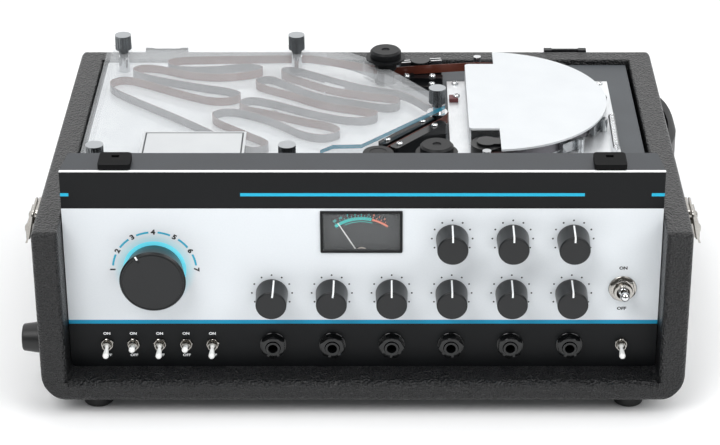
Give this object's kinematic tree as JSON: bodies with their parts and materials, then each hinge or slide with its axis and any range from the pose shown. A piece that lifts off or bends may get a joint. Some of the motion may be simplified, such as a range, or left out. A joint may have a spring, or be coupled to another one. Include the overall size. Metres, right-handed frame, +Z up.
{
  "type": "tape echo unit",
  "caption": "Open portable tape delay in a covered case: white control panel with knobs, switches, jacks and meter, clear tank of folded tape, curved head cover and rollers behind.",
  "frame": {"origin": "on the table, under the middle of the whole footprint", "axes": "+X to the right seen from the controls, +Y to the back, +Z up"},
  "size_m": [0.458, 0.309, 0.177],
  "materials": {
    "covering": "plywood covered with black grained leathercloth",
    "foot_rubber": "matte",
    "black_plastic": "fine satin",
    "bright_metal": "polished",
    "dark_steel": "black, satin",
    "grey_steel": "grey, smooth satin",
    "zinc_steel": "dull zinc",
    "panel_white": "white, printed",
    "knob_plastic": "fine ribbed",
    "white_plastic": "smooth",
    "clear_sheet": "clear acrylic",
    "white_sheet": "smooth",
    "tape_brown": "coated film",
    "bare_steel": "bright",
    "cover_white": "white, satin",
    "rubber_black": "ground",
    "brass": "turned",
    "motor_grey": "satin",
    "iron_core": "varnished laminations",
    "board_green": "lacquered board"
  },
  "bodies": {
    "unit": {"cabinet": "covering", "rubber_feet": "foot_rubber", "carry_handle": "black_plastic", "latch_bases": "bright_metal", "lid_hinges": "dark_steel", "mains_inlet": "black_plastic", "chassis_tray": "zinc_steel", "main_deck": "grey_steel", "front_panel": "panel_white", "panel_hood": "grey_steel", "lid_catches": "black_plastic", "control_bodies": "bare_steel", "panel_nuts": "bright_metal", "jack_sockets": "black_plastic", "meter_case": "black_plastic", "meter_window": "clear_sheet", "tank_floor": "white_sheet", "tank_cover": "clear_sheet", "thumb_screws": "bright_metal", "deck_posts": "bright_metal", "tape_loop": "tape_brown", "guide_bars": "black_plastic", "erase_head": "black_plastic", "head_plate": "bare_steel", "head_cover": "cover_white", "tape_heads": "bare_steel", "pressure_pads": "bare_steel", "pad_spring": "bright_metal", "drive_motor": "motor_grey", "drive_belt": "rubber_black", "power_transformer": "iron_core", "circuit_board": "board_green"},
    "mode_knob": {"mode_knob": "knob_plastic"},
    "power_toggle": {"power_toggle": "bright_metal"},
    "latch_lever_left": {"latch_lever_left": "bright_metal"},
    "latch_lever_right": {"latch_lever_right": "bright_metal"},
    "draw_loop_left": {"draw_loop_left": "bright_metal"},
    "draw_loop_right": {"draw_loop_right": "bright_metal"},
    "meter_needle": {"meter_needle": "white_plastic"},
    "rear_roller": {"rear_roller": "black_plastic"},
    "front_roller": {"front_roller": "black_plastic"},
    "pinch_roller": {"pinch_roller": "rubber_black"},
    "pinch_arm": {"pinch_arm": "dark_steel"},
    "capstan": {"capstan": "bare_steel"},
    "motor_pulley": {"motor_pulley": "brass"},
    "input_knob": {"input_knob": "knob_plastic"},
    "chorus_rate_knob": {"chorus_rate_knob": "knob_plastic"},
    "chorus_depth_knob": {"chorus_depth_knob": "knob_plastic"},
    "reverb_knob": {"reverb_knob": "knob_plastic"},
    "speed_knob": {"speed_knob": "knob_plastic"},
    "echo_knob": {"echo_knob": "knob_plastic"},
    "bass_knob": {"bass_knob": "knob_plastic"},
    "treble_knob": {"treble_knob": "knob_plastic"},
    "feedback_knob": {"feedback_knob": "knob_plastic"},
    "direct_toggle": {"direct_toggle": "white_plastic"},
    "motor_toggle": {"motor_toggle": "white_plastic"},
    "overdub_toggle": {"overdub_toggle": "white_plastic"},
    "echo_toggle": {"echo_toggle": "white_plastic"},
    "chorus_toggle": {"chorus_toggle": "white_plastic"},
    "level_toggle": {"level_toggle": "white_plastic"}
  },
  "joints": [
    {"name": "mode_turn", "type": "hinge", "parent": "unit", "child": "mode_knob", "pos_m": [-0.1377, -0.132, 0.101], "axis": [0, 1, 0], "range_deg": [-60, 120]},
    {"name": "input_turn", "type": "hinge", "parent": "unit", "child": "input_knob", "pos_m": [-0.0605, -0.132, 0.0833], "axis": [0, 1, 0], "range_deg": [-158, 142]},
    {"name": "chorus_rate_turn", "type": "hinge", "parent": "unit", "child": "chorus_rate_knob", "pos_m": [-0.0207, -0.132, 0.0833], "axis": [0, 1, 0], "range_deg": [-158, 142]},
    {"name": "chorus_depth_turn", "type": "hinge", "parent": "unit", "child": "chorus_depth_knob", "pos_m": [0.0191, -0.132, 0.0833], "axis": [0, 1, 0], "range_deg": [-150, 150]},
    {"name": "reverb_turn", "type": "hinge", "parent": "unit", "child": "reverb_knob", "pos_m": [0.0589, -0.132, 0.0833], "axis": [0, 1, 0], "range_deg": [-150, 150]},
    {"name": "speed_turn", "type": "hinge", "parent": "unit", "child": "speed_knob", "pos_m": [0.0987, -0.132, 0.0833], "axis": [0, 1, 0], "range_deg": [-150, 150]},
    {"name": "echo_turn", "type": "hinge", "parent": "unit", "child": "echo_knob", "pos_m": [0.1385, -0.132, 0.0833], "axis": [0, 1, 0], "range_deg": [-150, 150]},
    {"name": "bass_turn", "type": "hinge", "parent": "unit", "child": "bass_knob", "pos_m": [0.0589, -0.132, 0.124], "axis": [0, 1, 0], "range_deg": [-150, 150]},
    {"name": "treble_turn", "type": "hinge", "parent": "unit", "child": "treble_knob", "pos_m": [0.0987, -0.132, 0.124], "axis": [0, 1, 0], "range_deg": [-150, 150]},
    {"name": "feedback_turn", "type": "hinge", "parent": "unit", "child": "feedback_knob", "pos_m": [0.1385, -0.132, 0.124], "axis": [0, 1, 0], "range_deg": [-150, 150]},
    {"name": "direct_flip", "type": "hinge", "parent": "unit", "child": "direct_toggle", "pos_m": [-0.172, -0.1345, 0.0446], "axis": [1, 0, 0], "range_deg": [-26, 0]},
    {"name": "motor_flip", "type": "hinge", "parent": "unit", "child": "motor_toggle", "pos_m": [-0.1543, -0.1345, 0.0446], "axis": [1, 0, 0], "range_deg": [0, 26]},
    {"name": "overdub_flip", "type": "hinge", "parent": "unit", "child": "overdub_toggle", "pos_m": [-0.1366, -0.1345, 0.0446], "axis": [1, 0, 0], "range_deg": [-26, 0]},
    {"name": "echo_flip", "type": "hinge", "parent": "unit", "child": "echo_toggle", "pos_m": [-0.1189, -0.1345, 0.0446], "axis": [1, 0, 0], "range_deg": [0, 26]},
    {"name": "chorus_flip", "type": "hinge", "parent": "unit", "child": "chorus_toggle", "pos_m": [-0.1012, -0.1345, 0.0446], "axis": [1, 0, 0], "range_deg": [-26, 0]},
    {"name": "level_flip", "type": "hinge", "parent": "unit", "child": "level_toggle", "pos_m": [0.1733, -0.1345, 0.0446], "axis": [1, 0, 0], "range_deg": [-26, 0]},
    {"name": "power_flip", "type": "hinge", "parent": "unit", "child": "power_toggle", "pos_m": [0.1725, -0.1355, 0.0868], "axis": [1, 0, 0], "range_deg": [0, 26]},
    {"name": "latch_left_swing", "type": "hinge", "parent": "unit", "child": "latch_lever_left", "pos_m": [-0.222, -0.1045, 0.1225], "axis": [0, 1, 0], "range_deg": [0, 120]},
    {"name": "draw_loop_left_swing", "type": "hinge", "parent": "latch_lever_left", "child": "draw_loop_left", "pos_m": [-0.222, -0.1045, 0.1165], "axis": [0, 1, 0], "range_deg": [-150, 0]},
    {"name": "latch_right_swing", "type": "hinge", "parent": "unit", "child": "latch_lever_right", "pos_m": [0.222, -0.1045, 0.1225], "axis": [0, -1, 0], "range_deg": [0, 120]},
    {"name": "draw_loop_right_swing", "type": "hinge", "parent": "latch_lever_right", "child": "draw_loop_right", "pos_m": [0.222, -0.1045, 0.1165], "axis": [0, -1, 0], "range_deg": [-150, 0]},
    {"name": "needle_swing", "type": "hinge", "parent": "unit", "child": "meter_needle", "pos_m": [-0.0008, -0.128, 0.1072], "axis": [0, 1, 0], "range_deg": [0, 62], "stiffness_Nm_per_rad": 0.001},
    {"name": "capstan_spin", "type": "hinge", "parent": "unit", "child": "capstan", "pos_m": [0.08415, -0.05305, 0.12], "axis": [0, 0, 1], "continuous": true},
    {"name": "motor_spin", "type": "hinge", "parent": "unit", "child": "motor_pulley", "pos_m": [-0.01985, -0.05305, 0.106], "axis": [0, 0, 1], "continuous": true},
    {"name": "pinch_arm_swing", "type": "hinge", "parent": "unit", "child": "pinch_arm", "pos_m": [0.102, -0.038, 0.145], "axis": [0, 0, -1], "range_deg": [0, 12], "stiffness_Nm_per_rad": 0.1},
    {"name": "pinch_spin", "type": "hinge", "parent": "pinch_arm", "child": "pinch_roller", "pos_m": [0.08468, -0.03786, 0.144], "axis": [0, 0, 1], "continuous": true},
    {"name": "front_roller_spin", "type": "hinge", "parent": "unit", "child": "front_roller", "pos_m": [0.0495, -0.073, 0.144], "axis": [0, 0, 1], "continuous": true},
    {"name": "rear_roller_spin", "type": "hinge", "parent": "unit", "child": "rear_roller", "pos_m": [0.015, 0.09, 0.144], "axis": [0, 0, 1], "continuous": true}
  ],
  "couplings": [
    {"joint": "motor_spin", "follows": "capstan_spin", "ratio": 5.8333},
    {"joint": "pinch_spin", "follows": "capstan_spin", "ratio": -0.2727},
    {"joint": "front_roller_spin", "follows": "capstan_spin", "ratio": -0.5455},
    {"joint": "rear_roller_spin", "follows": "capstan_spin", "ratio": -0.5455},
    {"joint": "draw_loop_left_swing", "follows": "latch_left_swing", "ratio": -1.25},
    {"joint": "draw_loop_right_swing", "follows": "latch_right_swing", "ratio": -1.25}
  ]
}
